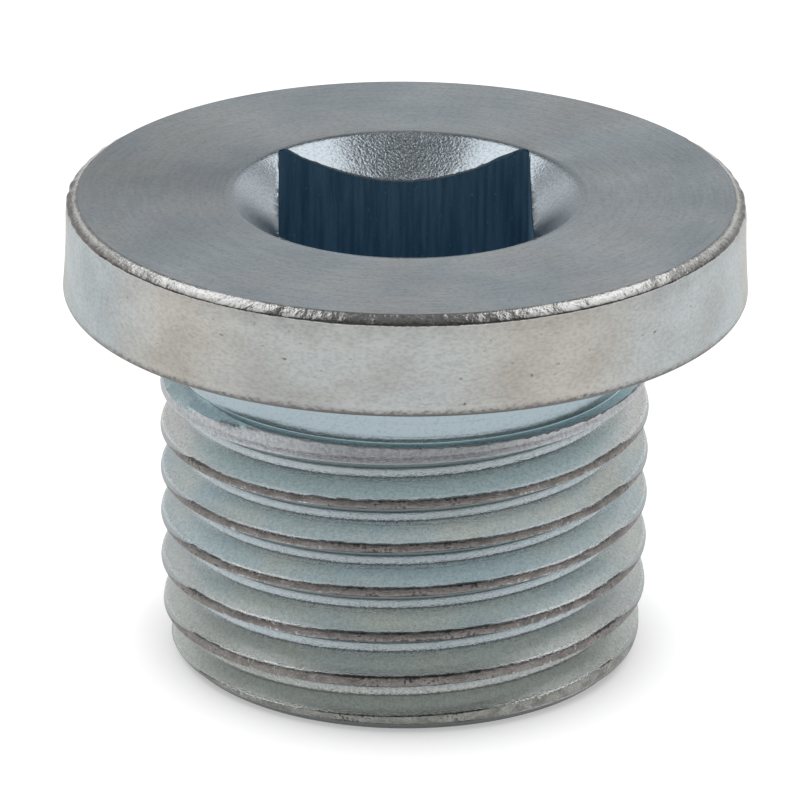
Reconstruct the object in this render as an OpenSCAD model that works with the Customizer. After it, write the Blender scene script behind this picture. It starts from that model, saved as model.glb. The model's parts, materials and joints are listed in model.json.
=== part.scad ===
// Oil drain plug: one turned and rolled steel piece with a flanged head, a square drive socket,
// a plain neck under the head and a right-hand metric fine thread that fades out before the neck.
// It stands on its threaded end: z = 0 is the end face, and the axis is +Z up to the head.

/* [Head] */
// Outside diameter of the flange at its widest, just above the lower edge
flange_d = 22; // [20:0.1:28]
// Thickness of the flange, sealing face to top face
flange_t = 3.26; // [2.5:0.02:5]
// How much the rim leans in from its lower to its upper edge, on the radius
rim_lean = 0.11; // [0.02:0.01:0.2]
// How far the worn top edge slopes in from the rim
edge_in = 0.36; // [0.35:0.01:0.8]
// How far below the top face the worn edge has turned into the rim
edge_drop = 0.28; // [0.18:0.01:0.35]
// Radius where the worn edge turns into the rim
edge_round = 0.12; // [0.08:0.01:0.16]
// Radius of the round on the lower edge of the flange
lower_round = 0.24; // [0.1:0.02:0.5]

/* [Drive socket] */
// Width of the square socket across its flats
square_w = 8.12; // [7:0.02:9]
// Radius in the four corners of the square
square_corner = 0.22; // [0.1:0.02:0.6]
// Depth of the square walls below the top face
square_depth = 8.5; // [6:0.1:10]
// Included angle of the cone that the punch leaves below the square
floor_angle = 140; // [118:1:160]
// Diameter of the countersink at the top face
countersink_d = 11.3; // [10.6:0.1:12.4]
// Included angle of the countersink
countersink_angle = 110; // [90:1:120]

/* [Thread] */
// Diameter over the thread crests
thread_d = 15.8; // [15:0.05:17.5]
// Rise of the thread in one turn
pitch = 1.5; // [1.25:0.05:1.75]
// Angle between the two flanks of a groove
flank_angle = 60; // [55:1:60]
// Width of the flat on a crest
crest_w = 0.27; // [0.15:0.01:0.35]
// Width of the flat in a root
root_w = 0.24; // [0.15:0.01:0.3]
// Angle about the axis at which a crest leaves the end face
thread_turn = 145; // [0:5:355]
// How much further out a crest stands at its lower edge than at its upper edge
crest_lean = 0.05; // [0:0.01:0.1]
// Part of a turn over which the last groove fades out under the neck
fade_turns = 0.15; // [0.1:0.05:0.6]
// Height above the shoulder at which the last groove has faded out
fade_rise = 0.2; // [0.1:0.05:0.5]

/* [Shank] */
// Length of the shank below the sealing face
shank_l = 12.24; // [10:0.02:16]
// Length of the plain neck between the sealing face and the thread's shoulder
neck_l = 2.3; // [1.8:0.02:3.5]
// Diameter of the neck: the bar before its thread was rolled, which pushed the crests out of it
neck_d = 14.9; // [14.2:0.05:15.2]
// Depth of the 45 degree lead chamfer on the end, on the radius
lead_chamfer = 0.65; // [0.5:0.01:1.2]
// How much lower than a full crest the first crest is, on the radius
lead_taper = 0.3; // [0:0.01:0.4]
// Height over which the crests grow to their full size
lead_taper_l = 3; // [1.5:0.1:5]

/* [Hidden] */
$fn = 96;
// Overshoot of a cut past the face that it opens
over = 0.5;
// How deep the neck sits in the threaded shank
seat = 0.05;

top_z = shank_l + flange_t;
shoulder_z = shank_l - neck_l;
flange_r = flange_d / 2;
rim_top_r = flange_r - rim_lean;

crest_r = thread_d / 2;
flank_slope = tan(flank_angle / 2);
groove_depth = (pitch - crest_w - root_w) / 2 / flank_slope;
neck_r = neck_d / 2;
end_r = crest_r - lead_chamfer;

// The thread is a grid: columns about the axis, and four points for each groove in a column
columns = 60;
groove_points = 4;
// Depth that is left where the groove has faded out, so that no face of the grid is empty
faded_depth = 0.03;
// Height of the lowest groove's middle at angle 0: far enough below the end face to be cut off
first_groove_z = pitch * (0.5 - thread_turn / 360 - 2);
grooves = ceil((shoulder_z - first_groove_z) / pitch) + 2;
column_points = groove_points * grooves;
// Turns from the lowest groove to where the last groove has faded out
fade_end = (shoulder_z + fade_rise - first_groove_z) / pitch;

// Depth of the groove after a number of turns: full, then fading out evenly
function depth_at(turns) =
    max(faded_depth, groove_depth * min(1, (fade_end - turns) / fade_turns));

// How much a crest at this height falls short of a full one
function crest_drop(z) = lead_taper * max(0, min(1, 1 - z / lead_taper_l));

// One of the four points across a groove, as radius and height: lower edge, root, root, upper edge
function groove_point(turns, corner) =
    let (
        depth = depth_at(turns),
        middle = first_groove_z + pitch * turns,
        side = corner < 2 ? -1 : 1,
        on_root = corner == 1 || corner == 2,
        lean = corner == 0 ? min(crest_lean, depth / 2) : 0,
        drop = on_root ? depth : crest_drop(middle + side * pitch / 2) + lean
    )
    [crest_r - drop, middle + side * (root_w / 2 + (depth - drop) * flank_slope)];

function thread_point(column, j) =
    let (
        angle = 360 * column / columns,
        p = groove_point(floor(j / groove_points) + column / columns, j % groove_points)
    )
    [p[0] * cos(angle), p[0] * sin(angle), p[1]];

// Place of a grid point in the list. Past the last column the grid goes on one groove higher.
function at(column, j) =
    column < columns ? column * column_points + j : j + groove_points;

// Bar with the helical groove, open ended: its helical ends lie past the part and are cut off
module threaded_bar() {
    last = column_points - 1;
    middle = column_points * columns;
    bottom_loop = concat(
        [for (c = [0 : columns - 1]) at(c, 0)],
        [for (j = [groove_points : -1 : 1]) j]
    );
    top_loop = concat(
        [for (c = [0 : columns - 1]) at(c, last)],
        [for (j = [1 : groove_points]) at(columns - 1, last - j)]
    );
    loop_n = len(bottom_loop);
    bar_top_z = first_groove_z + pitch * (grooves - 0.5);
    polyhedron(
        points = concat(
            [for (c = [0 : columns - 1]) for (j = [0 : last]) thread_point(c, j)],
            [[0, 0, first_groove_z + pitch / 2], [0, 0, bar_top_z]]
        ),
        faces = concat(
            [
                for (c = [0 : columns - 1])
                for (j = [0 : last - 1 - (c == columns - 1 ? groove_points : 0)])
                for (face = [
                    [at(c, j), at(c, j + 1), at(c + 1, j + 1)],
                    [at(c, j), at(c + 1, j + 1), at(c + 1, j)]
                ]) face
            ],
            [for (k = [0 : loop_n - 1]) [middle, bottom_loop[k], bottom_loop[(k + 1) % loop_n]]],
            [for (k = [0 : loop_n - 1]) [middle + 1, top_loop[(k + 1) % loop_n], top_loop[k]]]
        ),
        convexity = grooves
    );
}

// Room that the thread is kept in: flat end, 45 degree lead chamfer and flat shoulder
module thread_envelope() {
    clear_r = crest_r + over;
    rotate_extrude()
        polygon([
            [0, 0],
            [end_r, 0],
            [clear_r, clear_r - end_r],
            [clear_r, shoulder_z],
            [0, shoulder_z]
        ]);
}

module threaded_shank() {
    intersection() {
        threaded_bar();
        thread_envelope();
    }
}

// The neck stands between the roots and the crests of the thread, so it leaves a narrow shoulder
module neck() {
    translate([0, 0, shoulder_z - seat])
        cylinder(h = shank_l + flange_t / 2 - shoulder_z + seat, r = neck_r);
}

// Flange outline turned about the axis: the lower edge of the rim is an arc, and the worn top edge is
// a slope that runs on into a smaller arc without a corner
module flange() {
    arc_middle = [rim_top_r - edge_round, top_z - edge_drop];
    slope = atan2(edge_drop, edge_in - edge_round)
        - asin(edge_round / norm([edge_in - edge_round, edge_drop]));
    rotate_extrude() {
        polygon([
            [0, shank_l],
            [flange_r - lower_round, shank_l],
            [flange_r, shank_l + lower_round],
            [rim_top_r, top_z - edge_drop],
            arc_middle + edge_round * [sin(slope), cos(slope)],
            [rim_top_r - edge_in, top_z],
            [0, top_z]
        ]);
        translate([flange_r - lower_round, shank_l + lower_round])
            circle(r = lower_round);
        translate(arc_middle)
            circle(r = edge_round);
    }
}

module square_outline() {
    straight = square_w - 2 * square_corner;
    square([square_w, straight], center = true);
    square([straight, square_w], center = true);
    for (x = [-1, 1])
        for (y = [-1, 1])
            translate([x * straight / 2, y * straight / 2])
                circle(r = square_corner);
}

// Square walls, the shallow cone below them and the countersink that their tops break through
module drive_socket() {
    floor_z = top_z - square_depth;
    floor_r = square_w / 2 - square_corner;
    floor_h = floor_r / tan(floor_angle / 2);
    sink_slope = tan(countersink_angle / 2);
    sink_h = countersink_d / 2 / sink_slope;
    translate([0, 0, floor_z])
        linear_extrude(height = square_depth + over)
            square_outline();
    translate([0, 0, floor_z - floor_h])
        cylinder(h = floor_h, r1 = 0, r2 = floor_r);
    translate([0, 0, top_z - sink_h])
        cylinder(h = sink_h + over, r1 = 0, r2 = countersink_d / 2 + over * sink_slope);
}

// Zinc-plated steel, grey with a cool cast
module drain_plug() {
    color([0.66, 0.69, 0.70])
        difference() {
            union() {
                flange();
                neck();
                threaded_shank();
            }
            drive_socket();
        }
}

drain_plug();
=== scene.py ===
"""Oil drain plug: looks of the zinc-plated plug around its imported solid, laid out as an add-on."""

import json
import math

import bmesh
import bpy
import numpy as np
from mathutils import Matrix, Vector


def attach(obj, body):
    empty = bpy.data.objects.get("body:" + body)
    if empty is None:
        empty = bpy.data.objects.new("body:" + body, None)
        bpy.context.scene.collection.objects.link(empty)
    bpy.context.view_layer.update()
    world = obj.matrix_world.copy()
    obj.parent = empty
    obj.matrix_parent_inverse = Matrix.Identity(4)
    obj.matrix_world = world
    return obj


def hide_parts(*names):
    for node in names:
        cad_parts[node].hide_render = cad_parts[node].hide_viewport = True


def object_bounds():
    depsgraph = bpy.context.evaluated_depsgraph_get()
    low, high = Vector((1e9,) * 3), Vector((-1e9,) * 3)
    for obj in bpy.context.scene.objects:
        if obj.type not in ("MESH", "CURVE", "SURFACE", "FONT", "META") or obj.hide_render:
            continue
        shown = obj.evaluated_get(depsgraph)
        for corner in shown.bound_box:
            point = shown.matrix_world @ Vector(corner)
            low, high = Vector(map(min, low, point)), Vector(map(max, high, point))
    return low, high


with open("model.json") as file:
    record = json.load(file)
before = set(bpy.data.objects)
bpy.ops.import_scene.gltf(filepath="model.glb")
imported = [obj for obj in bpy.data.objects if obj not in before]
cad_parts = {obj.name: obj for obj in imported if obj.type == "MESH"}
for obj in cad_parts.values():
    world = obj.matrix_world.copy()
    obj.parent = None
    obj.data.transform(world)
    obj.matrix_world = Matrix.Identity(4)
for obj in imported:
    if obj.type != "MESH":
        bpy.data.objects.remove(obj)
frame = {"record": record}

bl_info = {
    "name": "Oil drain plug",
    "version": (1, 0, 0),
    "blender": (4, 5, 0),
    "location": "View3D > Sidebar > Drain plug",
    "description": "Builds a zinc-plated oil drain plug with a rolled thread, and a plain studio round it",
    "category": "Mesh",
}

MM = 0.001
TAU = 2 * math.pi
NODE = "drain_plug"
BODY = "root"

# The solid's box and its stated faces give the sizes that the looks have to keep
CAD_LOW, CAD_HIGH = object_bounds()
MOUNTS = {mount["name"]: mount for mount in frame["record"]["mounts"]}
TOP_Z = CAD_HIGH.z
FLANGE_R = CAD_HIGH.x
SEAL_Z = MOUNTS["sealing_face"]["pos_m"][2]
CREST_R = MOUNTS["thread"]["dims"]["r_mm"] * MM
THREAD_L = MOUNTS["thread"]["dims"]["length_mm"] * MM
SOCKET_DEPTH = MOUNTS["square_drive"]["dims"]["length_mm"] * MM

# Widths over which the thread's roots, its crests and the chamfer's edge are rounded
ROOT_BLEND = 0.08 * MM
CREST_BLEND = 0.05 * MM
CHAMFER_BLEND = 0.03 * MM

# A crest is cut off this much further out, because its rounding takes about as much away again
CREST_SPARE = 0.02 * MM

# Height and width of the broken edge round the end face
END_BREAK = 0.03 * MM

# Soil and painted shade on the rows of the worn top edge, and painted shade on the rows of the rim, where
# only its lowest row has any, and of its lower edge, which faces down under the flange; from above
EDGE_SOIL_AND_SHADE = (0, 0.3, 0.55, 0.62, 0.62, 0.6, 0.6, 0.55, 0.5, 0.4, 0.3, 0.1)
RIM_PAINTED_SHADE = (0, 0, 0, 0, 0, 0, 0, 0, 0, 0.4)
LOWER_PAINTED_SHADE = (0.55, 0.7, 0.8, 0.9, 0.9, 0.9)

# Burrs on the socket's brink: angle and spread in degrees, and height
BURRS = ((20, 25, 0.03 * MM), (51, 6, 0.07 * MM), (135, 3, 0.09 * MM), (178, 28, 0.04 * MM))

# Grid columns about the axis; a multiple of 8, so that the socket's corners fall on columns
COLUMNS = 384

# Points closer than this are merged, and edges that bend more than this stay sharp
MERGE_REACH = 0.0003 * MM
SHARP_BEND = math.radians(38)

# Finishes in the order of the mesh's material slots
FINISHES = ("socket", "countersink", "face", "edge", "rim", "neck", "shoulder", "thread", "end")

# Turns of the thread after which its last crest has become the land under the neck
LAND_TURNS = 6.0

# Stretches of the crests with a painted highlight: how far they lie beside the axis, and how far from there,
# in millimetres, the painted highlight is still full and has ended
GLINT_X = 4.4
GLINT_FULL = 0.8
GLINT_END = 2.2

# Added to a distance to put a point out of a mark's reach
OUT_OF_REACH = 9

# Roughness of burnished edges, of flanks and of crests on the thread
BURNISHED = 0.16
SATIN = 0.32
DULL = 0.4

# Softboxes: the right one's direction from the plug's head, their distance and their size, in metres
SOFTBOX_WAY = (0.5, 0.25, 0.83)
SOFTBOX_REACH = 0.4
SOFTBOX_SIZE = (0.3, 0.2)


def length(name, value, description):
    return bpy.props.FloatProperty(
        name=name, description=description, default=value, unit="LENGTH", precision=6
    )


def colour(name, value, description):
    return bpy.props.StringProperty(name=name, description=description + ", sRGB hex", default=value)


class PlugSizes(bpy.types.PropertyGroup):
    """Sizes of the plug that its solid's box and mounts don't give."""

    square_w: length("Square width", 8.12 * MM, "Width of the drive socket across its flats")
    square_corner: length("Square corner", 0.22 * MM, "Radius in the corners of the socket")
    sink_r: length("Countersink radius", 5.65 * MM, "Radius of the countersink at the top face")
    sink_angle: bpy.props.FloatProperty(
        name="Countersink angle",
        description="Included angle of the countersink",
        default=math.radians(110),
        subtype="ANGLE",
    )
    edge_in: length("Top edge width", 0.36 * MM, "How far the worn top edge slopes in from the rim")
    edge_drop: length("Top edge drop", 0.28 * MM, "Depth at which the worn edge has turned into the rim")
    edge_round: length("Top edge round", 0.12 * MM, "Radius where the worn edge turns into the rim")
    rim_lean: length("Rim lean", 0.11 * MM, "How much the rim leans in towards the top")
    lower_round: length("Lower edge round", 0.24 * MM, "Radius of the rim's lower edge")
    neck_r: length("Neck radius", 7.45 * MM, "Radius of the plain neck under the flange")
    neck_fillet: length("Neck fillet", 0.2 * MM, "Radius between the neck and the flange")
    pitch: length("Pitch", 1.5 * MM, "Rise of the thread in one turn")
    root_w: length("Root width", 0.34 * MM, "Width of the rounded flat in a thread root")
    thread_depth: length("Thread depth", 0.857 * MM, "From a full crest to the root, on the radius")
    crest_w: length("Crest width", 0.24 * MM, "Width of the flat on a thread crest")
    crest_lean: length("Crest lean", 0.05 * MM, "How much further out a crest's lower edge stands")
    thread_turn: bpy.props.FloatProperty(
        name="Thread start",
        description="Angle about the axis at which a crest leaves the end face",
        default=math.radians(145),
        subtype="ANGLE",
    )
    fade_turns: bpy.props.FloatProperty(
        name="Run-out", description="Part of a turn in which the last groove fades out", default=0.15
    )
    fade_rise: length("Run-out height", 0.2 * MM, "Height above the shoulder where the groove ends")
    lead_chamfer: length("Lead chamfer", 0.65 * MM, "Depth of the chamfer on the threaded end")
    lead_taper: length("Lead taper", 0.36 * MM, "How much lower than a full crest the first crest is")
    lead_sag: length("Lead sag", 0.13 * MM, "How far the first crests lean towards the end")
    lead_taper_l: length("Lead taper height", 3 * MM, "Height over which the crests grow to full size")


class PlugColours(bpy.types.PropertyGroup):
    """Colours of the plated finishes."""

    face_cool: colour("Face, cool", "#E0ECF4", "Zinc on the turned faces where it looks blue")
    face_warm: colour("Face, warm", "#E8EEF1", "Zinc on the turned faces where it looks grey")
    rim_warm: colour("Rim, warm", "#D3CFC8", "Plating on the rim where it looks beige")
    rim_cool: colour("Rim, cool", "#C8D0D2", "Plating on the rim where it looks blue")
    edge: colour("Worn edge", "#D6D6D5", "Zinc on the beaten top edge")
    # The dull colour also paints shade on the worn edge, along the top face's border and on the rim's lower
    # edge
    dull: colour("Dull edge", "#797774", "Dull, soiled zinc on the edges of the rim")
    # The pits' colour also paints the shade in the crease at the neck's foot
    grime_and_shade: colour("Pits", "#5E5A56", "Dull pits and soil in the plating")
    countersink: colour("Countersink", "#BAC4CB", "Zinc in the countersink")
    socket: colour("Socket", "#86B0CA", "Wall of the drive socket")
    socket_dark: colour("Socket, dark", "#668FAA", "Dark broaching marks in the socket")
    neck: colour("Neck", "#ACBBC2", "Blue-passivated zinc on the neck")
    shoulder: colour("Shoulder", "#D0E6E6", "Green-blue zinc on the thread's shoulder")
    root: colour("Thread root", "#BFCACF", "Pale zinc in the thread roots")
    # Painted highlight: bright edges above the crests in two stretches on each side of the thread
    glint: colour("Glints", "#F4F7F8", "Bright zinc just above the thread crests")
    flank_cool: colour("Flank, cool", "#D2E0E5", "Blue zinc on the thread flanks")
    flank_warm: colour("Flank, green", "#E0E5E1", "Green-grey zinc on the thread flanks")
    # Painted light: a paler flank under the last crest, against the shade of the flange above it
    flank_top_painted_light: colour("Flank, top", "#F0F1EF", "Pale zinc on the flank under the last crest")
    flank_low: colour("Flank, low", "#CACFCC", "Grey zinc on the first threads")
    flank_high: colour("Flank, high", "#B2C9CE", "Blue zinc on the flank above the last crest")
    crest: colour("Thread crest", "#A39E9B", "Grey-brown zinc on the rolled crests")
    # Painted shade: a darker grey on a crest's upper part at the sides
    crest_side_shade: colour("Crest, upper part", "#A2A8AC", "Grey zinc on a crest above its seam")
    first_crest: colour("First crest", "#B6B6B1", "Grey zinc on the first crest")
    land: colour("Thread run-out", "#CDD0D4", "Pale zinc on the last crest")


class StageSettings(bpy.types.PropertyGroup):
    """Camera and light of the studio."""

    distance: length("Camera distance", 220 * MM, "From the camera to the middle of the top face")
    elevation: bpy.props.FloatProperty(
        name="Camera elevation",
        description="Slope at which the camera sees the middle of the top face",
        default=math.radians(20.67),
        subtype="ANGLE",
    )
    azimuth: bpy.props.FloatProperty(
        name="Camera azimuth",
        description="Turn of the camera about the axis",
        default=math.radians(-1.24),
        subtype="ANGLE",
    )
    roll: bpy.props.FloatProperty(
        name="Camera roll",
        description="Turn of the camera about its own axis",
        default=math.radians(-0.44),
        subtype="ANGLE",
    )
    image_px: bpy.props.IntProperty(
        name="Image width", description="Side of the square picture, in pixels", default=800
    )
    px_per_mm: bpy.props.FloatProperty(
        name="Scale", description="Pixels for each millimetre at the top face", default=31.27
    )
    top_x_px: bpy.props.FloatProperty(
        name="Top middle, x", description="Where the top face's middle falls, in pixels", default=404.6
    )
    top_y_px: bpy.props.FloatProperty(
        name="Top middle, y", description="Where the top face's middle falls, in pixels", default=192.9
    )
    floor_colour: colour("Floor", "#C8C8C8", "Pale floor")
    floor_glow: bpy.props.FloatProperty(
        name="Floor glow", description="Light that the floor adds towards the camera", default=0.92
    )
    floor_shine: bpy.props.FloatProperty(
        name="Floor shine", description="Light that the floor adds in reflections", default=0.75
    )
    contact_reach: length("Contact shadow", 3 * MM, "How far the shadow under the plug reaches")
    softbox_power: bpy.props.FloatProperty(
        name="Softbox power", description="Power of each softbox, in watts", default=0.24, subtype="POWER"
    )


def smooth_max(a, b, blend):
    """The larger of two fields; the corner where they cross is rounded over about the width blend."""
    return 0.5 * (a + b + np.sqrt((a - b) ** 2 + blend**2))


def smooth_min(a, b, blend):
    return -smooth_max(-a, -b, blend)


def column_angles():
    return TAU * np.arange(COLUMNS) / COLUMNS


def ripple(angle, waves, seed):
    """Uneven line round the axis: cosines of the given counts, each with a random phase and size."""
    rng = np.random.default_rng(seed)
    phase = rng.uniform(0, TAU, len(waves))
    size = rng.uniform(0.4, 1.0, len(waves))
    lines = np.cos(np.multiply.outer(angle, np.asarray(waves)) + phase) * size
    return lines.sum(axis=-1) / np.sqrt((size**2).sum() / 2)


def rings(radius, height):
    """Rings of points: radius and height, each for every row and column, turned about the axis."""
    angle = column_angles()
    radius, height, angle = np.broadcast_arrays(radius, height, angle)
    return np.stack([radius * np.cos(angle), radius * np.sin(angle), height], axis=-1)


def square_radius(angle, half, corner):
    """Polar radius of a square with rounded corners: half / cos of the angle from the nearest flat's
    middle, and past the flat's end the far crossing of the ray with the corner's circle."""
    turn = np.mod(angle + math.pi / 4, math.pi / 2) - math.pi / 4
    middle = half - corner
    along = middle * (np.cos(turn) + np.abs(np.sin(turn)))
    arc = along + np.sqrt(np.maximum(along**2 - 2 * middle**2 + corner**2, 0))
    return np.where(half * np.abs(np.tan(turn)) <= middle, half / np.cos(turn), arc)


def socket_rows(size):
    """From the pole in the socket's floor up the square walls: a shallow cone, a flat ring out to the
    rounded square, and straight walls up to where the countersink's cone cuts them."""
    angle = column_angles()
    wall = square_radius(angle, size.square_w / 2, size.square_corner)
    sink = math.tan(size.sink_angle / 2)
    brink = TOP_Z - np.maximum(size.sink_r - wall, 0) / sink
    floor_z = TOP_Z - SOCKET_DEPTH
    floor_r = size.square_w / 2 - size.square_corner
    floor_slope = math.tan(math.radians(70))
    share = np.linspace(0, 1, 5)[:, None]
    cone = rings(share * floor_r, floor_z - (1 - share) * floor_r / floor_slope)
    fillet = 0.12 * MM
    foot = rings(np.stack([wall - fillet, wall - fillet / 3, wall]),
                 floor_z + np.array([[0], [fillet / 3], [fillet]]))
    rise = np.linspace(0, 1, 14)[1:, None]
    low = floor_z + fillet
    lip = 0.06 * MM
    walls = rings(wall, low + rise * (brink - lip - low))
    return np.concatenate([cone, foot, walls])


def countersink_rows(size):
    """From the socket's brink out to the top face: a cone whose height runs smoothly into the flat face.
    Its inner edge is broken, with a low burr that comes and goes and swells at the two back corners."""
    angle = column_angles()
    wall = square_radius(angle, size.square_w / 2, size.square_corner)
    sink = math.tan(size.sink_angle / 2)
    burr = 0.02 * MM * np.clip(ripple(angle, np.arange(5, 60, 4), 41), 0, 2)
    for middle, spread, height in BURRS:
        burr = burr + height * np.exp(-(((angle - math.radians(middle)) / math.radians(spread)) ** 2))
    lip = np.minimum(0.05 * MM + burr / 2, np.maximum(size.sink_r - wall, 0) / 3)
    inner = wall + lip
    outer = size.sink_r + 0.15 * MM
    share = np.array([0.0, 0.1, 0.22, 0.36, 0.5, 0.62, 0.72, 0.8, 0.86, 0.92, 1.0])[:, None]
    radius = inner + share * (outer - inner)
    cone = rings(radius, TOP_Z - smooth_max((size.sink_r - radius) / sink, 0.0, 0.06 * MM))
    brink = TOP_Z - np.maximum(size.sink_r - wall, 0) / sink
    crown = np.minimum(brink + lip / 8 + burr, TOP_Z)
    broken = rings(np.stack([wall, wall + lip / 3]), np.stack([brink - lip / 2, crown]))
    return np.concatenate([broken, cone])


def face_rows(size):
    """The flat top face, from the countersink out to the worn edge."""
    start = size.sink_r + 0.25 * MM
    end = FLANGE_R - size.rim_lean - size.edge_in
    share = np.append(np.linspace(0, 0.98, 9), 1)[:, None]
    return rings(start + share * (end - start), TOP_Z)


def edge_rows(size):
    """The worn top edge: a slope that runs on into an arc, and the arc into the rim. Wear takes a little
    off it, more or less round the rim."""
    angle = column_angles()
    waves = ripple(angle, np.arange(3, 20), 11) + 0.8 * ripple(angle, np.arange(24, 96, 5), 12)
    worn = np.clip(0.014 * MM * (2 + waves), 0, 0.08 * MM)
    flat = size.edge_in - size.edge_round
    slope = math.atan2(size.edge_drop, flat)
    slope -= math.asin(size.edge_round / math.hypot(flat, size.edge_drop))
    turn = np.linspace(slope, math.pi / 2, 10)[:, None]
    reach = size.edge_round - worn
    outer = FLANGE_R - size.rim_lean
    arc = rings(
        outer - size.edge_round + reach * np.sin(turn), TOP_Z - size.edge_drop + reach * np.cos(turn)
    )
    start = rings(outer - size.edge_in, TOP_Z)
    share = np.array([0.3, 0.6])[:, None, None]
    return np.concatenate([start + share * (arc[0] - start), arc])


def edge_soil_and_shade():
    """Dirt and painted shade on the worn edge: most on its middle rows, and more at the sides and behind
    than in front, where the extra is painted shade.
    """
    front = np.clip(-np.sin(column_angles()) / 0.6, 0, 1)
    # Painted shade: the edge is dulled more at the sides and behind than in front
    return np.add.outer(EDGE_SOIL_AND_SHADE, 0.3 * (1 - front))


def rim_rows(size):
    """The rim: a cone that widens slightly to its lower edge, then a quarter circle under it."""
    angle = column_angles()
    uneven = 0.012 * MM * (ripple(angle, np.arange(2, 9), 21) - 2)
    low = SEAL_Z + size.lower_round
    high = TOP_Z - size.edge_drop
    share = np.append(np.linspace(0, 0.92, 10)[1:], 1)[:, None]
    bow = np.sin(share * math.pi)
    radius = FLANGE_R - size.rim_lean * (1 - share) + bow * uneven
    wall = rings(radius, high - share * (high - low))
    turn = np.linspace(0, math.pi / 2, 7)[1:, None]
    under = rings(
        FLANGE_R - size.lower_round * (1 - np.cos(turn)), low - size.lower_round * np.sin(turn)
    )
    return wall, under


def underside_rows(size):
    """The flat sealing face, from the rim in to the fillet of the neck."""
    outer = FLANGE_R - size.lower_round
    inner = size.neck_r + size.neck_fillet
    share = np.linspace(0, 1, 7)[1:, None]
    return rings(outer + share * (inner - outer), SEAL_Z)


def neck_rows(size):
    """A quarter circle from the sealing face into the neck, and the neck; then a quarter circle from the
    neck into the thread's shoulder."""
    turn = np.linspace(0, math.pi / 2, 6)[1:, None]
    fillet = rings(
        size.neck_r + size.neck_fillet * (1 - np.sin(turn)),
        SEAL_Z - size.neck_fillet * (1 - np.cos(turn)),
    )
    corner = 0.03 * MM
    share = np.array([0.25, 0.5, 0.75, 0.97, 1])[:, None]
    high = SEAL_Z - size.neck_fillet
    low = THREAD_L + corner
    neck = rings(size.neck_r, high + share * (low - high))
    turn = np.linspace(0, math.pi / 2, 4)[1:, None]
    foot = rings(size.neck_r + corner * (1 - np.cos(turn)), low - corner * np.sin(turn))
    return np.concatenate([fillet, neck]), foot


def thread_radius(size, angle, height):
    """Radius of the thread and how far it stands above its root, from 0 to 1. A groove's radius grows with
    the distance from its middle line, which climbs one pitch a turn, and is never below its root. The
    first groove grows out of the end and the last one fades out below the neck. A crest is cut off at its
    radius, which is lower near the end and grows a little from a crest's upper to its lower edge. A 45
    degree chamfer cuts the end."""
    full = size.thread_depth
    slope = (size.pitch - size.crest_w - size.root_w) / 2 / full
    line = size.pitch * (0.5 + (angle - size.thread_turn) / TAU)
    middle = line + size.pitch * np.round((height - line) / size.pitch)
    end = THREAD_L + size.fade_rise
    last = np.clip((end - middle) / (size.fade_turns * size.pitch), 0, 1)
    start, grown = 0.1 * MM, 0.5 * MM
    first = np.clip((middle - start) / grown, 0, 1)
    depth = full * last * first
    flank = CREST_R - depth + (np.abs(height - middle) - size.root_w / 2) / slope
    groove = smooth_max(flank, CREST_R - depth, ROOT_BLEND)
    from_crest = size.pitch * (np.mod((height - line) / size.pitch, 1) - 0.5)
    lean = size.crest_lean * np.clip(0.5 + from_crest / size.crest_w, 0, 1)
    taper = size.lead_taper * np.clip(1 - height / size.lead_taper_l, 0, 1) ** 2
    crest = CREST_R + CREST_SPARE - lean - taper
    radius = smooth_min(groove, crest, CREST_BLEND)
    radius = smooth_min(radius, CREST_R - size.lead_chamfer + height, CHAMFER_BLEND)
    return radius, 1 - (crest - radius) / full


def thread_rows(size):
    """The thread as a grid that follows the helix: each row keeps its place on the thread's profile and
    climbs one pitch in a turn. Heights are held between the shoulder's uneven edge and the end face, so
    the rows that run past an end lie on one another there and are merged later. The first crests lean
    down. Gives the shoulder's brink, the rows, their rise, their turns and places across the thread, in
    pitches from the crest, and the rows in a pitch."""
    # Rows from a crest's middle down to the root, closer together where the profile turns
    half = np.array([0.0, 0.07, 0.1, 0.125, 0.15, 0.19, 0.36, 0.52, 0.56, 0.6, 0.65]) * MM
    from_crest = np.concatenate([half, [size.pitch / 2], size.pitch - half[:0:-1]])
    angle = column_angles()
    on_crest = np.clip((thread_radius(size, angle, THREAD_L)[1] - 0.9) / 0.08, 0, 1)
    chips = on_crest * (1 + np.clip(1 + ripple(angle, np.arange(15, 150, 4), 31), 0, 3))
    chipped = 0.02 * MM * chips
    top = THREAD_L - chipped
    first = math.ceil(THREAD_L / size.pitch) + 1
    pitches = first + 3
    level = (first - np.arange(pitches))[:, None] * size.pitch - from_crest[None, :]
    turned_by = (angle - size.thread_turn) / TAU
    height = np.clip(level.reshape(-1, 1) + size.pitch * turned_by, END_BREAK, top)
    radius, rise = thread_radius(size, angle, height)
    # The lean grows downwards from sag_top, and from the chamfer upwards
    sag_top, sag_reach = 5 * MM, 3 * MM
    foot, foot_reach = 0.2 * MM, 0.6 * MM
    sag = size.lead_sag * np.clip((sag_top - height) / sag_reach, 0, 1)
    sag = sag * np.clip(rise, 0, 1) * np.clip((height - foot) / foot_reach, 0, 1)
    place = height / size.pitch - turned_by
    turns = np.round(place) + turned_by
    edge = thread_radius(size, angle, top)[0] - chipped
    least = size.neck_r + 0.04 * MM
    brink = rings(np.maximum(edge, least)[None, :], THREAD_L)
    return brink, rings(radius, height - sag), rise, turns, place - np.round(place), len(from_crest)


def end_rows(size):
    """The flat end face, from the chamfer in to its pole."""
    outer = CREST_R - size.lead_chamfer - END_BREAK
    share = np.linspace(1, 0, 8)[:, None]
    return rings(share * outer, 0.0)


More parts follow.
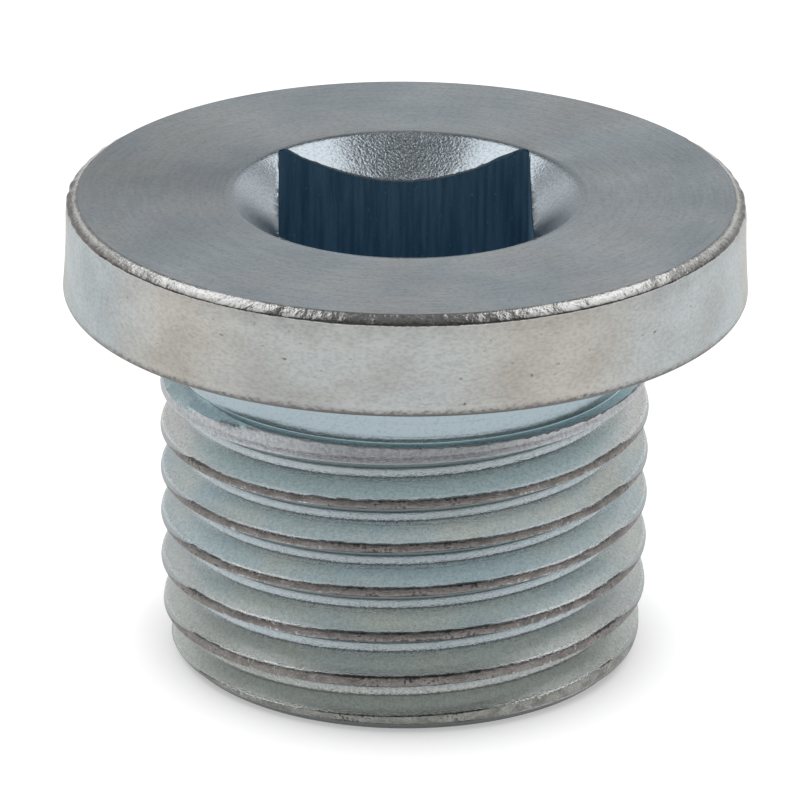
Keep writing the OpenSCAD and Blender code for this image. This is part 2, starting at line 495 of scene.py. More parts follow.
def plug_grid(size):
    """All rows in order from the socket's floor to the end face's middle: their points, each row's finish,
    the values on every point that the finishes read, and the row on which each row closes its turn."""
    rim, under = rim_rows(size)
    neck, foot = neck_rows(size)
    brink, thread, rise, turns, across, per_pitch = thread_rows(size)
    # Painted shade: a ragged dark line in the crease at the neck's foot
    neck_foot_shade = np.zeros(len(neck))
    neck_foot_shade[-1] = 0.35
    face = face_rows(size)
    # Painted shade: a dark line along the top face's outer border, at the worn edge
    face_border_shade = np.zeros(len(face))
    face_border_shade[-1] = 0.45
    bands = [
        ("socket", socket_rows(size), 0.0),
        ("countersink", countersink_rows(size), 0.0),
        ("face", face, face_border_shade[:, None]),
        ("edge", edge_rows(size), edge_soil_and_shade()),
        # Painted shade on the rim's lowest row and on its lower edge, which faces down under the flange
        ("rim", rim, np.array(RIM_PAINTED_SHADE)[:, None]),
        ("rim", under, np.array(LOWER_PAINTED_SHADE)[:, None]),
        ("face", underside_rows(size), 0.0),
        ("neck", neck, neck_foot_shade[:, None]),
        ("shoulder", foot, 0.0),
        ("shoulder", brink, 0.0),
        ("thread", thread, 0.0),
        ("end", end_rows(size), 0.0),
    ]
    points = np.concatenate([rows for _, rows, _ in bands])
    finish = np.concatenate([np.full(len(rows), FINISHES.index(name)) for name, rows, _ in bands])
    soil = np.concatenate([np.broadcast_to(share, rows.shape[:2]) for _, rows, share in bands])
    on_thread = finish == FINISHES.index("thread")
    crest_share = np.ones(points.shape[:2])
    crest_share[on_thread] = rise
    thread_turns = np.zeros(points.shape[:2])
    thread_turns[on_thread] = turns
    thread_across = np.zeros(points.shape[:2])
    thread_across[on_thread] = across
    first = int(np.argmax(on_thread))
    row = np.arange(len(points))
    closes_on = np.where(on_thread, np.maximum(row - per_pitch, first), row)
    layers = {
        "thread_rise": crest_share,
        "thread_turns": thread_turns,
        "thread_across": thread_across,
        "soil": soil,
        "rim_tone": rim_tone(len(points)),
        "face_tone": face_tone(len(points)),
    }
    return points, finish, layers, closes_on


def rim_tone(rows):
    """Tone of the plating round the rim, 0 beige to 1 blue: six soft zones a turn, made uneven."""
    angle = column_angles()
    zones = 0.5 + 0.3 * np.cos(6 * (angle + math.radians(95))) + 0.16 * ripple(angle, np.arange(2, 12), 51)
    return np.broadcast_to(zones, (rows, COLUMNS))


def face_tone(rows):
    """Painted shade on the top face, 0 dark to 1 light: a fan of soft rays that stands for the turned face's
    streaked reflection, with a wide dark one on the left and a narrow one on the right."""
    angle = column_angles()
    left = np.exp(-(((angle - math.radians(172)) / math.radians(30)) ** 2))
    right = np.exp(-(((angle - math.radians(16)) / math.radians(14)) ** 2))
    zones = 0.75 - 0.75 * left - 0.1 * right + 0.08 * ripple(angle, np.arange(3, 16), 61)
    return np.broadcast_to(zones, (rows, COLUMNS))


def grid_faces(rows, closes_on):
    """Four corners for each face: down a row, across a column, up, back. The last column joins the
    first one, on the thread one pitch higher."""
    row = np.arange(rows - 1)[:, None]
    column = np.arange(COLUMNS)[None, :]
    here = row * COLUMNS + column
    last = column == COLUMNS - 1
    across = np.where(last, closes_on[row] * COLUMNS, here + 1)
    across_below = np.where(last, closes_on[row + 1] * COLUMNS, here + COLUMNS + 1)
    return np.stack([here, here + COLUMNS, across_below, across], axis=-1).reshape(-1, 4)


def plug_mesh(size):
    """The closed skin of the plug, with rows that lie on one another merged and outward faces."""
    points, finish, layers, closes_on = plug_grid(size)
    faces = grid_faces(len(points), closes_on)
    mesh = bpy.data.meshes.new("drain_plug_skin")
    mesh.from_pydata(points.reshape(-1, 3), [], faces)
    below = np.repeat(finish[1:], COLUMNS)
    mesh.polygons.foreach_set("material_index", below.astype(np.int32))
    for name, value in layers.items():
        layer = mesh.attributes.new(name, "FLOAT", "POINT")
        layer.data.foreach_set("value", value.ravel().astype(np.float32))
    work = bmesh.new()
    work.from_mesh(mesh)
    bmesh.ops.remove_doubles(work, verts=work.verts, dist=MERGE_REACH)
    bmesh.ops.dissolve_degenerate(work, edges=work.edges, dist=MERGE_REACH)
    work.to_mesh(mesh)
    work.free()
    mesh.shade_smooth()
    mesh.set_sharp_from_angle(angle=SHARP_BEND)
    return mesh


def linear(hex_colour):
    """Linear colour of an sRGB hex value."""
    parts = [int(hex_colour[i : i + 2], 16) / 255 for i in (1, 3, 5)]
    return [c / 12.92 if c <= 0.04045 else ((c + 0.055) / 1.055) ** 2.4 for c in parts] + [1.0]


def add(tree, kind, sockets=(), **settings):
    """Adds a node with its settings; each socket gets a value, or a link from another node's output."""
    made = tree.nodes.new(kind)
    for name, value in settings.items():
        setattr(made, name, value)
    for name, value in dict(sockets).items():
        if isinstance(value, bpy.types.NodeSocket):
            tree.links.new(value, made.inputs[name])
        else:
            made.inputs[name].default_value = value
    return made


def new_finish(name):
    """An empty metal material: its tree, its shader and the place of a point in millimetres, so that the
    scale of a noise is its number of marks in a millimetre."""
    material = bpy.data.materials.new(name)
    material.use_nodes = True
    tree = material.node_tree
    tree.nodes.clear()
    shader = add(tree, "ShaderNodeBsdfPrincipled", {"Metallic": 1.0})
    add(tree, "ShaderNodeOutputMaterial", {"Surface": shader.outputs["BSDF"]})
    place = add(tree, "ShaderNodeTexCoord").outputs["Object"]
    in_mm = add(tree, "ShaderNodeVectorMath", {0: place, "Scale": 1 / MM}, operation="SCALE")
    return material, tree, shader, in_mm.outputs["Vector"]


def turned(tree, in_mm, radius, along, across, upright=False):
    """Coordinates that follow the lathe, for marks so long and so wide, in millimetres, at a radius:
    the direction from the axis, and the distance from it or, on an upright wall, the height."""
    flat = add(tree, "ShaderNodeVectorMath", {0: in_mm, 1: (1, 1, 0)}, operation="MULTIPLY").outputs[0]
    way = add(tree, "ShaderNodeVectorMath", {0: flat}, operation="NORMALIZE").outputs[0]
    turn = add(tree, "ShaderNodeVectorMath", {0: way, "Scale": radius / along}, operation="SCALE")
    if upright:
        place = add(tree, "ShaderNodeSeparateXYZ", {0: in_mm}).outputs["Z"]
    else:
        place = add(tree, "ShaderNodeVectorMath", {0: flat}, operation="LENGTH").outputs["Value"]
    step = add(tree, "ShaderNodeMath", {0: place, 1: 1 / across}, operation="MULTIPLY")
    lift = add(tree, "ShaderNodeCombineXYZ", {"Z": step.outputs[0]}).outputs[0]
    return add(tree, "ShaderNodeVectorMath", {0: turn.outputs[0], 1: lift}, operation="ADD").outputs[0]


def blend(tree, pattern, low, high, first, second):
    """First colour where the pattern is below low, second where it is above high."""
    share = add(tree, "ShaderNodeMapRange", {"Value": pattern, "From Min": low, "From Max": high})
    mix = add(tree, "ShaderNodeMix", {0: share.outputs["Result"], 6: first, 7: second}, data_type="RGBA")
    return mix.outputs[2]


def dimmed(tree, tint, pattern, low, high, least):
    """The colour, times least where the pattern is below low, and left as it is above high."""
    share = add(tree, "ShaderNodeMapRange", {
        "Value": pattern, "From Min": low, "From Max": high, "To Min": least, "To Max": 1})
    mix = add(tree, "ShaderNodeMix", {0: 1.0, 6: tint, 7: share.outputs["Result"]},
              data_type="RGBA", blend_type="MULTIPLY")
    return mix.outputs[2]


def relief(tree, shader, *layers):
    """Bump of several patterns on the shader's normal, each with its height in millimetres and, if it
    isn't the same everywhere, the share of that height."""
    normal = None
    for pattern, height, *share in layers:
        bump = add(tree, "ShaderNodeBump", {"Height": pattern, "Distance": height * MM})
        if share:
            tree.links.new(share[0], bump.inputs["Strength"])
        if normal:
            tree.links.new(normal, bump.inputs["Normal"])
        normal = bump.outputs["Normal"]
    tree.links.new(normal, shader.inputs["Normal"])


def soiled_and_shaded(tree, tint, pattern, dull):
    """The colour, turned dull where the mesh's layer of dirt and painted shade is high; the pattern makes it
    ragged.
    """
    soil = add(tree, "ShaderNodeAttribute", attribute_name="soil").outputs["Fac"]
    ragged = add(tree, "ShaderNodeMath", {0: pattern, 1: 0.9, 2: soil}, operation="MULTIPLY_ADD").outputs[0]
    return blend(tree, ragged, 0.7, 1.1, tint, linear(dull))


def face_finish(name, colours):
    """Zinc on a lathe-turned face: satin grey, with fine rings about the axis, a faint fan of lighter and
    darker rays that is painted shade for the turned face's streaked reflection, and faint clouds in the
    plating."""
    material, tree, shader, in_mm = new_finish(name)
    shader.inputs["Roughness"].default_value = 0.34
    fan = add(tree, "ShaderNodeAttribute", attribute_name="face_tone").outputs["Fac"]
    ring_at = turned(tree, in_mm, 8, 1.4, 0.1)
    ring = add(tree, "ShaderNodeTexNoise", {"Vector": ring_at, "Scale": 1, "Detail": 1}).outputs["Fac"]
    cloud = add(tree, "ShaderNodeTexNoise", {"Vector": in_mm, "Scale": 0.3, "Detail": 5}).outputs["Fac"]
    grain = add(tree, "ShaderNodeTexNoise", {"Vector": in_mm, "Scale": 9, "Detail": 3}).outputs["Fac"]
    tint = blend(tree, cloud, 0.4, 0.6, linear(colours.face_cool), linear(colours.face_warm))
    # Painted shade: the fan darkens the face in soft rays, most on the left
    tint = dimmed(tree, tint, fan, 0, 1, 0.64)
    tint = dimmed(tree, tint, cloud, 0.35, 0.55, 0.92)
    tint = dimmed(tree, tint, ring, 0.35, 0.65, 0.91)
    tint = dimmed(tree, tint, grain, 0.32, 0.55, 0.84)
    tree.links.new(soiled_and_shaded(tree, tint, grain, colours.dull), shader.inputs["Base Color"])
    relief(tree, shader, (ring, 0.007), (grain, 0.008))
    return material


def rim_finish(name, colours):
    """Barrel-plated zinc on the rim: upright zones of beige and blue-grey, a fine lying grain and pits, and
    painted shade along its lower edge.
    """
    material, tree, shader, in_mm = new_finish(name)
    shader.inputs["Roughness"].default_value = 0.45
    tone = add(tree, "ShaderNodeAttribute", attribute_name="rim_tone").outputs["Fac"]
    cloud_at = turned(tree, in_mm, 11, 2.2, 1.5, True)
    cloud = add(tree, "ShaderNodeTexNoise", {"Vector": cloud_at, "Scale": 1, "Detail": 4}).outputs["Fac"]
    grain_at = turned(tree, in_mm, 11, 0.16, 0.09, True)
    grain = add(tree, "ShaderNodeTexNoise", {"Vector": grain_at, "Scale": 1, "Detail": 3}).outputs["Fac"]
    pits_at = turned(tree, in_mm, 11, 0.3, 0.2, True)
    pits = add(tree, "ShaderNodeTexNoise", {"Vector": pits_at, "Scale": 1, "Detail": 3}).outputs["Fac"]
    mixed = add(tree, "ShaderNodeMath", {0: cloud, 1: 0.7, 2: tone}, operation="MULTIPLY_ADD").outputs[0]
    tint = blend(tree, mixed, 0.45, 1.25, linear(colours.rim_warm), linear(colours.rim_cool))
    tint = dimmed(tree, tint, cloud, 0.36, 0.58, 0.86)
    tint = dimmed(tree, tint, grain, 0.3, 0.6, 0.82)
    tint = blend(tree, pits, 0.69, 0.8, tint, linear(colours.grime_and_shade))
    tree.links.new(soiled_and_shaded(tree, tint, grain, colours.dull), shader.inputs["Base Color"])
    relief(tree, shader, (grain, 0.006))
    return material


def edge_finish(name, colours):
    """Zinc on an edge beaten in the plating barrel: shiny wear with shallow dents, dull where dirty and
    where shade is painted.
    """
    material, tree, shader, in_mm = new_finish(name)
    shader.inputs["Roughness"].default_value = 0.22
    dents = add(tree, "ShaderNodeTexNoise", {"Vector": in_mm, "Scale": 3.2, "Detail": 4}).outputs["Fac"]
    grain = add(tree, "ShaderNodeTexNoise", {"Vector": in_mm, "Scale": 8, "Detail": 3}).outputs["Fac"]
    worn = dimmed(tree, linear(colours.edge), grain, 0.3, 0.55, 0.7)
    tree.links.new(soiled_and_shaded(tree, worn, grain, colours.dull), shader.inputs["Base Color"])
    relief(tree, shader, (dents, 0.04), (grain, 0.014))
    return material


def countersink_finish(name, colours):
    """Zinc on a coined cone: shiny, with a fine drawn-out grain; at the back it is pitted by the punch."""
    material, tree, shader, in_mm = new_finish(name)
    shader.inputs["Roughness"].default_value = 0.2
    grain_at = turned(tree, in_mm, 5, 0.1, 0.06)
    grain = add(tree, "ShaderNodeTexNoise", {"Vector": grain_at, "Scale": 1, "Detail": 3}).outputs["Fac"]
    spots = add(tree, "ShaderNodeTexNoise", {"Vector": in_mm, "Scale": 12, "Detail": 3}).outputs["Fac"]
    place = add(tree, "ShaderNodeSeparateXYZ", {0: in_mm})
    beside = add(tree, "ShaderNodeMath", {0: place.outputs["X"]}, operation="ABSOLUTE").outputs[0]
    pitted = add(tree, "ShaderNodeMapRange", {"Value": beside, "From Min": 2.2, "From Max": 0.8}).outputs[0]
    tint = dimmed(tree, linear(colours.countersink), grain, 0.35, 0.55, 0.8)
    tree.links.new(tint, shader.inputs["Base Color"])
    relief(tree, shader, (grain, 0.009), (spots, 0.03, pitted))
    return material


def socket_finish(name, colours):
    """Broached wall under thin, dull, blue passivation: upright drag marks and small bright specks."""
    material, tree, shader, in_mm = new_finish(name)
    shader.inputs["Roughness"].default_value = 0.5
    shader.inputs["Metallic"].default_value = 0.0
    drag_at = add(tree, "ShaderNodeVectorMath", {0: in_mm, 1: (6, 6, 0.45)}, operation="MULTIPLY")
    drag = add(tree, "ShaderNodeTexNoise", {
        "Vector": drag_at.outputs[0], "Scale": 1, "Detail": 4}).outputs["Fac"]
    speck_at = add(tree, "ShaderNodeVectorMath", {0: in_mm, 1: (11, 11, 5)}, operation="MULTIPLY")
    speck = add(tree, "ShaderNodeTexNoise", {
        "Vector": speck_at.outputs[0], "Scale": 1, "Detail": 2}).outputs["Fac"]
    drawn = blend(tree, drag, 0.35, 0.65, linear(colours.socket_dark), linear(colours.socket))
    specked = blend(tree, speck, 0.66, 0.8, drawn, linear(colours.countersink))
    tree.links.new(specked, shader.inputs["Base Color"])
    relief(tree, shader, (drag, 0.03))
    return material


def neck_finish(name, colours, tint, roughness):
    """Blue-passivated zinc on the turned neck and shoulder: shiny, with fine tool lines round it, and
    painted shade in the crease at the neck's foot.
    """
    material, tree, shader, in_mm = new_finish(name)
    shader.inputs["Roughness"].default_value = roughness
    lines_at = turned(tree, in_mm, 7, 5, 0.07, True)
    lines = add(tree, "ShaderNodeTexNoise", {"Vector": lines_at, "Scale": 1, "Detail": 3}).outputs["Fac"]
    grain = add(tree, "ShaderNodeTexNoise", {"Vector": in_mm, "Scale": 9, "Detail": 2}).outputs["Fac"]
    scored = blend(tree, lines, 0.62, 1.2, linear(tint), linear(colours.grime_and_shade))
    scored = dimmed(tree, scored, grain, 0.3, 0.5, 0.88)
    tree.links.new(soiled_and_shaded(tree, scored, grain, colours.grime_and_shade), shader.inputs["Base Color"])
    relief(tree, shader, (lines, 0.004), (grain, 0.006))
    return material


def crest_level(tree, rise, across, aside, grain, past_land):
    """The thread's rise, held down above a ragged line, so that at the sides a crest is grey-brown below
    that line only. The land above the last groove has no such line."""
    line = add(tree, "ShaderNodeMapRange", {
        "Value": aside, "From Min": 6.6, "From Max": 7.7, "To Min": 0.14, "To Max": -0.05}).outputs[0]
    top_line = add(tree, "ShaderNodeMath", {0: line, 1: past_land}, operation="ADD").outputs[0]
    above = add(tree, "ShaderNodeMath", {0: across, 1: top_line}, operation="SUBTRACT").outputs[0]
    uneven = add(tree, "ShaderNodeMath", {0: grain, 1: 0.04, 2: above}, operation="MULTIPLY_ADD").outputs[0]
    cap = add(tree, "ShaderNodeMapRange", {
        "Value": uneven, "From Min": 0.01, "From Max": 0.04, "To Min": 1.2, "To Max": 0.75}).outputs[0]
    return add(tree, "ShaderNodeMath", {0: rise, 1: cap}, operation="MINIMUM").outputs[0]


def seam_distance(tree, ragged, seam, off_glint, past_land):
    """Distance from the dark seam on a crest's upper edge, in its own widths; the seam is partly painted
    shade. The pattern makes the seam wide or narrow; in the stretches with the painted highlight it is
    nearly closed, and the land has none."""
    on_seam = add(tree, "ShaderNodeMath", {0: ragged, 1: 1}, operation="SUBTRACT").outputs[0]
    off_seam = add(tree, "ShaderNodeMath", {0: on_seam}, operation="ABSOLUTE").outputs[0]
    # Share of the painted highlight, which nearly closes the seam
    worn = add(tree, "ShaderNodeMapRange", {
        "Value": off_glint, "From Min": GLINT_END, "From Max": GLINT_FULL, "To Max": 0.3}).outputs[0]
    closed = add(tree, "ShaderNodeMath", {0: seam, 1: worn}, operation="SUBTRACT").outputs[0]
    wide = add(tree, "ShaderNodeMapRange", {
        "Value": closed, "From Min": 0.3, "From Max": 0.6, "To Min": 0.003, "To Max": 0.05}).outputs[0]
    part = add(tree, "ShaderNodeMath", {0: off_seam, 1: wide}, operation="DIVIDE").outputs[0]
    return add(tree, "ShaderNodeMath", {
        0: past_land, 1: OUT_OF_REACH, 2: part}, operation="MULTIPLY_ADD").outputs[0]


def thread_gloss(tree, rise):
    """Roughness of the thread: least on the rounded edges of roots and crests, most on the crests."""
    by_root = add(tree, "ShaderNodeMapRange", {
        "Value": rise, "From Min": 0.1, "From Max": 0.3, "To Min": BURNISHED, "To Max": SATIN})
    by_crest = add(tree, "ShaderNodeMapRange", {
        "Value": rise, "From Min": 0.96, "From Max": 0.8, "To Min": BURNISHED, "To Max": SATIN})
    on_crest = add(tree, "ShaderNodeMapRange", {
        "Value": rise, "From Min": 0.97, "From Max": 0.99, "To Min": BURNISHED, "To Max": DULL})
    edges = add(tree, "ShaderNodeMath", {
        0: by_root.outputs["Result"], 1: by_crest.outputs["Result"]}, operation="MINIMUM")
    return add(tree, "ShaderNodeMath", {
        0: edges.outputs[0], 1: on_crest.outputs["Result"]}, operation="MAXIMUM").outputs[0]


def thread_grit(tree, rise):
    """Share of the specks' height on the thread: full on crests and in roots, less on the flanks."""
    near_crest = add(tree, "ShaderNodeMapRange", {
        "Value": rise, "From Min": 0.6, "From Max": 0.97, "To Min": 0.3, "To Max": 1})
    near_root = add(tree, "ShaderNodeMapRange", {
        "Value": rise, "From Min": 0.4, "From Max": 0.15, "To Min": 0.3, "To Max": 1})
    return add(tree, "ShaderNodeMath", {
        0: near_crest.outputs["Result"], 1: near_root.outputs["Result"]}, operation="MAXIMUM").outputs[0]


def thread_finish(name, colours):
    """Zinc on a rolled thread: pale roots, painted darker as shade in their front and back middle, blue to
    green-grey flanks with a fine grain, painted darker as shade towards the root, and dull crests left
    grey-brown where the rolled metal closed up, with a ragged dark seam that is partly painted shade. At the
    sides a crest's upper part is painted a darker grey as shade, and in two stretches on each side a bright
    edge is painted on as a highlight. The rounded edges of roots and crests are burnished, so they draw thin
    bright and dark lines. The last crest is paler and mottled, with painted shade in its front and back
    middle; the flank under it is painted paler, as light against the flange's shade; the flank above it is
    green-blue, the first threads are greyer, and the chamfer is painted dark, as the shadow under the plug
    that it mirrors."""
    material, tree, shader, in_mm = new_finish(name)
    rise = add(tree, "ShaderNodeAttribute", attribute_name="thread_rise").outputs["Fac"]
    turns = add(tree, "ShaderNodeAttribute", attribute_name="thread_turns").outputs["Fac"]
    across = add(tree, "ShaderNodeAttribute", attribute_name="thread_across").outputs["Fac"]
    place = add(tree, "ShaderNodeSeparateXYZ", {0: in_mm})
    height = place.outputs["Z"]
    grain = add(tree, "ShaderNodeTexNoise", {"Vector": in_mm, "Scale": 9, "Detail": 3}).outputs["Fac"]
    speck = add(tree, "ShaderNodeTexNoise", {"Vector": in_mm, "Scale": 20, "Detail": 2}).outputs["Fac"]
    cloud_at = turned(tree, in_mm, 7.5, 3, 1.1, True)
    cloud = add(tree, "ShaderNodeTexNoise", {"Vector": cloud_at, "Scale": 1, "Detail": 4}).outputs["Fac"]
    seam_at = turned(tree, in_mm, 7.5, 0.5, 0.3, True)
    seam = add(tree, "ShaderNodeTexNoise", {"Vector": seam_at, "Scale": 1, "Detail": 4}).outputs["Fac"]
    aside = add(tree, "ShaderNodeMath", {0: place.outputs["X"]}, operation="ABSOLUTE").outputs[0]
    past_land = add(tree, "ShaderNodeMath", {0: turns, 1: LAND_TURNS}, operation="GREATER_THAN").outputs[0]
    level = crest_level(tree, rise, across, aside, grain, past_land)
    ragged = add(tree, "ShaderNodeMath", {0: grain, 1: 0.1, 2: level}, operation="MULTIPLY_ADD").outputs[0]
    flank = blend(tree, cloud, 0.38, 0.62, linear(colours.flank_cool), linear(colours.flank_warm))
    # Painted light: the flank under the last crest turns paler
    flank = blend(tree, height, 7.4, 8, flank, linear(colours.flank_top_painted_light))
    flank = blend(tree, height, 5, 2, flank, linear(colours.flank_low))
    flank = blend(tree, turns, LAND_TURNS, LAND_TURNS + 0.08, flank, linear(colours.flank_high))
    flank = dimmed(tree, flank, grain, 0.3, 0.6, 0.8)
    flank = dimmed(tree, flank, speck, 0.3, 0.55, 0.76)
    # Painted shade: the flanks darker towards the root
    flank = dimmed(tree, flank, rise, 0.12, 0.6, 0.84)
    root = dimmed(tree, linear(colours.root), grain, 0.3, 0.55, 0.9)
    # Painted shade: the roots darker in their front and back middle
    root = dimmed(tree, root, aside, 1.5, 4.8, 0.74)
    rooted = blend(tree, ragged, 0.08, 0.2, root, flank)
    # Painted shade: at the sides a crest's upper part turns a darker grey
    side_shaded = blend(tree, rise, 0.97, 1, rooted, linear(colours.crest_side_shade))
    # Painted highlight: stretches on both sides have a bright edge painted on, and elsewhere the seam along
    # that edge is dark, partly painted shade
    from_glint = add(tree, "ShaderNodeMath", {0: aside, 1: GLINT_X}, operation="SUBTRACT").outputs[0]
    off_glint = add(tree, "ShaderNodeMath", {0: from_glint}, operation="ABSOLUTE").outputs[0]
    off_glint_stretch = add(tree, "ShaderNodeMath", {
        0: past_land, 1: OUT_OF_REACH, 2: off_glint}, operation="MULTIPLY_ADD").outputs[0]
    bright = blend(tree, off_glint_stretch, GLINT_END, GLINT_FULL, side_shaded, linear(colours.glint))
    lit = blend(tree, ragged, 0.93, 0.98, side_shaded, bright)
    first = blend(tree, turns, 1.0, 0.7, linear(colours.crest), linear(colours.first_crest))
    rough = dimmed(tree, first, seam, 0.35, 0.6, 0.6)
    rough = dimmed(tree, rough, speck, 0.3, 0.6, 0.6)
    smooth = dimmed(tree, linear(colours.land), grain, 0.32, 0.6, 0.7)
    smooth = dimmed(tree, smooth, speck, 0.3, 0.6, 0.82)
    # Painted shade: the last crest darker in its front and back middle
    smooth = dimmed(tree, smooth, aside, 2, 4.8, 0.6)
    crest = blend(tree, turns, LAND_TURNS, LAND_TURNS + 0.02, rough, smooth)
    crested = blend(tree, ragged, 1.01, 1.035, lit, crest)
    off_seam = seam_distance(tree, ragged, seam, off_glint, past_land)
    # Partly painted shade: the dark seam along a crest's upper edge
    seamed_and_shaded = dimmed(tree, crested, off_seam, 0.6, 1.0, 0.22)
    # Painted shade: the chamfer turns dark, for the shadowed floor under the plug that it mirrors
    chamfer_shade = dimmed(tree, seamed_and_shaded, height, 0.3, 0.38, 0.35)
    tree.links.new(chamfer_shade, shader.inputs["Base Color"])
    tree.links.new(thread_gloss(tree, rise), shader.inputs["Roughness"])
    relief(tree, shader, (grain, 0.013), (speck, 0.018, thread_grit(tree, rise)))
    return material


def make_finishes(colours):
    """One material for each finish, in the order of FINISHES."""
    return [
        socket_finish("broached_socket", colours),
        countersink_finish("coined_zinc_countersink", colours),
        face_finish("turned_zinc_face", colours),
        edge_finish("beaten_zinc_edge", colours),
        rim_finish("barrel_plated_zinc_rim", colours),
        neck_finish("turned_zinc_neck", colours, colours.neck, 0.26),
        neck_finish("turned_zinc_shoulder", colours, colours.shoulder, 0.2),
        thread_finish("rolled_zinc_thread", colours),
        face_finish("turned_zinc_end", colours),
    ]


class DRAINPLUG_OT_plug(bpy.types.Operator):
    """Build the plug's skin and give each part of it its finish."""

    bl_idname = "drainplug.plug"
    bl_label = "Drain plug"

    def execute(self, context):
        mesh = plug_mesh(context.scene.plug_sizes)
        for material in make_finishes(context.scene.plug_colours):
            mesh.materials.append(material)
        plug = bpy.data.objects.new("drain_plug_skin", mesh)
        context.scene.collection.objects.link(plug)
        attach(plug, BODY)
        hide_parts(NODE)
        return {"FINISHED"}


def add_floor(stage):
    """A wide flat disc under the plug: rings of growing radius about the axis."""
    radius = np.array([0.0, 0.05, 0.15, 0.5, 2.0])[:, None]
    points = rings(radius, 0.0)
    faces = grid_faces(len(points), np.arange(len(points)))
    mesh = bpy.data.meshes.new("studio_floor")
    mesh.from_pydata(points.reshape(-1, 3), [], faces[:, ::-1])
    work = bmesh.new()
    work.from_mesh(mesh)
    bmesh.ops.remove_doubles(work, verts=work.verts, dist=0.001 * MM)
    bmesh.ops.recalc_face_normals(work, faces=work.faces)
    work.to_mesh(mesh)
    work.free()
    material = bpy.data.materials.new("pale_floor")
    material.use_nodes = True
    tree = material.node_tree
    shader = tree.nodes["Principled BSDF"]
    shader.inputs["Base Color"].default_value = linear(stage.floor_colour)
    shader.inputs["Roughness"].default_value = 0.9
    shader.inputs["Emission Color"].default_value = (1, 1, 1, 1)
    # The floor looks white to the camera and pale in the metal, and its light on the plug stays plain
    path = add(tree, "ShaderNodeLightPath").outputs
    mirrored = add(tree, "ShaderNodeMath", {
        0: path["Is Glossy Ray"], 1: path["Is Transmission Ray"]}, operation="MAXIMUM").outputs[0]
    shine = add(tree, "ShaderNodeMath", {0: mirrored, 1: stage.floor_shine}, operation="MULTIPLY").outputs[0]
    seen = add(tree, "ShaderNodeMath", {
        0: path["Is Camera Ray"], 1: stage.floor_glow, 2: shine}, operation="MULTIPLY_ADD").outputs[0]
    clear = add(tree, "ShaderNodeAmbientOcclusion", {"Distance": stage.contact_reach}, samples=8)
    faint = add(tree, "ShaderNodeMapRange", {"Value": clear.outputs["AO"], "To Min": 0.3})
    glow = add(tree, "ShaderNodeMath", {0: seen, 1: faint.outputs["Result"]}, operation="MULTIPLY")
    tree.links.new(glow.outputs[0], shader.inputs["Emission Strength"])
    mesh.materials.append(material)
    floor = bpy.data.objects.new("studio_floor", mesh)
    bpy.context.scene.collection.objects.link(floor)


def add_softbox(name, way, reach, size, power):
    """A rectangular area lamp in that direction from the plug's head, facing it."""
    lamp = bpy.data.lights.new(name, "AREA")
    lamp.shape = "RECTANGLE"
    lamp.size, lamp.size_y = size
    lamp.energy = power
    box = bpy.data.objects.new(name, lamp)
    back = Vector(way).normalized()
    box.location = Vector((0, 0, TOP_Z)) + back * reach
    box.rotation_euler = back.to_track_quat("Z", "Y").to_euler()
    bpy.context.scene.collection.objects.link(box)


def add_world():
    """Grey studio: paler low down behind the plug, dark overhead and round the camera."""
    world = bpy.data.worlds.new("grey_studio")
    bpy.context.scene.world = world
    world.use_nodes = True
    tree = world.node_tree
    tree.nodes.clear()
    way = add(tree, "ShaderNodeTexCoord").outputs["Generated"]
    part = add(tree, "ShaderNodeSeparateXYZ", {0: way})
    behind = add(tree, "ShaderNodeMapRange", {
        "Value": part.outputs["Y"], "From Min": 0.1, "From Max": 0.75}, interpolation_type="SMOOTHSTEP")
    low = add(tree, "ShaderNodeMapRange", {
        "Value": part.outputs["Z"], "From Min": 0.72, "From Max": 0.4}, interpolation_type="SMOOTHSTEP")
    off_axis = add(tree, "ShaderNodeMath", {0: part.outputs["X"]}, operation="ABSOLUTE")
    beside = add(tree, "ShaderNodeMapRange", {
        "Value": off_axis.outputs[0], "From Min": 0.3, "From Max": 0.5, "To Min": 0.31, "To Max": 0.68},
        interpolation_type="SMOOTHSTEP")
    both = add(tree, "ShaderNodeMath", {
        0: behind.outputs["Result"], 1: low.outputs["Result"]}, operation="MULTIPLY")
    level = add(tree, "ShaderNodeMath", {
        0: both.outputs[0], 1: beside.outputs["Result"], 2: 0.15}, operation="MULTIPLY_ADD")
    shader = add(tree, "ShaderNodeBackground", {
        "Color": (1, 1, 1, 1), "Strength": level.outputs[0]})
    add(tree, "ShaderNodeOutputWorld", {"Surface": shader.outputs["Background"]})


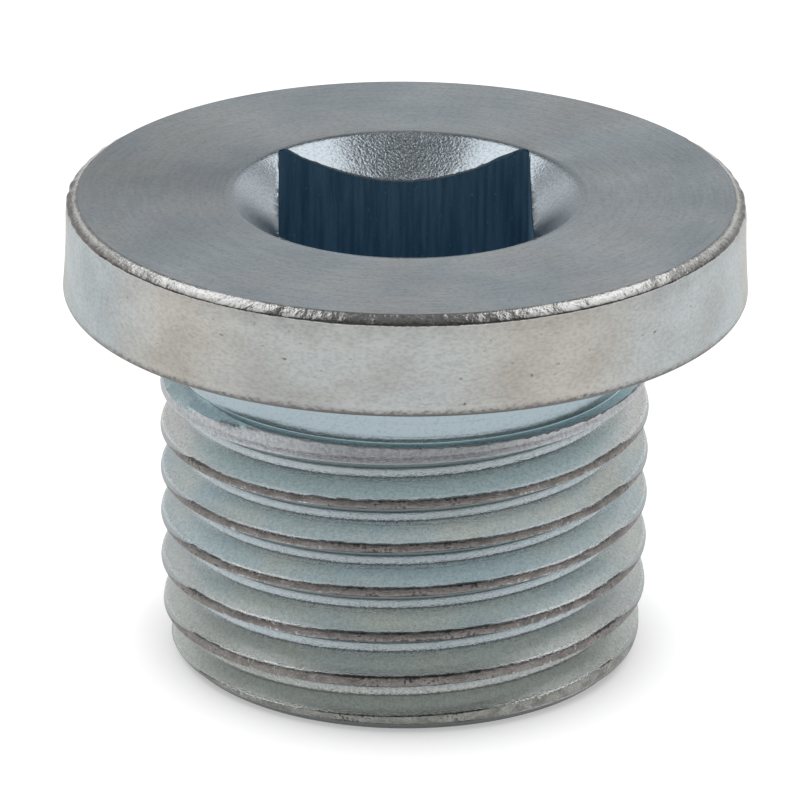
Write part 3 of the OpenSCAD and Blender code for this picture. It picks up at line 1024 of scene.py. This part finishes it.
def add_camera(stage):
    """Camera that sees the top face's middle at the stated place, slope, scale and roll."""
    data = bpy.data.cameras.new("camera")
    focal_px = stage.px_per_mm * stage.distance / MM
    data.lens = focal_px * data.sensor_width / stage.image_px
    data.clip_start = 0.01
    camera = bpy.data.objects.new("camera", data)
    target = Vector((0, 0, TOP_Z))
    slope = stage.elevation
    back = Vector((
        math.sin(stage.azimuth) * math.cos(slope),
        -math.cos(stage.azimuth) * math.cos(slope),
        math.sin(slope),
    ))
    right = Vector((0, 0, 1)).cross(back).normalized()
    up = back.cross(right)
    # Aim past the top face's middle, so that it falls off the picture's middle as stated
    off_right = (stage.top_x_px - stage.image_px / 2) / focal_px
    off_up = (stage.image_px / 2 - stage.top_y_px) / focal_px
    aim = (back + right * off_right + up * off_up).normalized()
    right = Vector((0, 0, 1)).cross(aim).normalized()
    up = aim.cross(right)
    turn = Matrix((right, up, aim)).transposed().to_4x4()
    camera.matrix_world = (
        Matrix.Translation(target + back * stage.distance) @ turn @ Matrix.Rotation(-stage.roll, 4, "Z")
    )
    bpy.context.scene.collection.objects.link(camera)
    bpy.context.scene.camera = camera


class DRAINPLUG_OT_stage(bpy.types.Operator):
    """Build the floor, the light and the camera."""

    bl_idname = "drainplug.stage"
    bl_label = "Studio"

    def execute(self, context):
        stage = context.scene.plug_stage
        add_floor(stage)
        add_world()
        for name, side in (("softbox_left", -1), ("softbox_right", 1)):
            way = (side * SOFTBOX_WAY[0], *SOFTBOX_WAY[1:])
            add_softbox(name, way, SOFTBOX_REACH, SOFTBOX_SIZE, stage.softbox_power)
        add_camera(stage)
        context.scene.view_settings.view_transform = "Standard"
        return {"FINISHED"}


class DRAINPLUG_PT_panel(bpy.types.Panel):
    """Sizes, colours and steps of the drain plug."""

    bl_idname = "DRAINPLUG_PT_panel"
    bl_label = "Drain plug"
    bl_space_type = "VIEW_3D"
    bl_region_type = "UI"
    bl_category = "Drain plug"

    def draw(self, context):
        for group in (context.scene.plug_sizes, context.scene.plug_colours, context.scene.plug_stage):
            box = self.layout.box()
            for name in group.bl_rna.properties.keys():
                if name not in {"rna_type", "name"}:
                    box.prop(group, name)
        for operator in (DRAINPLUG_OT_plug, DRAINPLUG_OT_stage):
            self.layout.operator(operator.bl_idname)


CLASSES = (
    PlugSizes,
    PlugColours,
    StageSettings,
    DRAINPLUG_OT_plug,
    DRAINPLUG_OT_stage,
    DRAINPLUG_PT_panel,
)
GROUPS = {"plug_sizes": PlugSizes, "plug_colours": PlugColours, "plug_stage": StageSettings}


def register():
    for made in CLASSES:
        bpy.utils.register_class(made)
    for name, group in GROUPS.items():
        setattr(bpy.types.Scene, name, bpy.props.PointerProperty(type=group))


def unregister():
    for name in GROUPS:
        delattr(bpy.types.Scene, name)
    for made in reversed(CLASSES):
        bpy.utils.unregister_class(made)


def main():
    register()
    bpy.ops.drainplug.stage()
    bpy.ops.drainplug.plug()


if __name__ == "__main__":
    main()
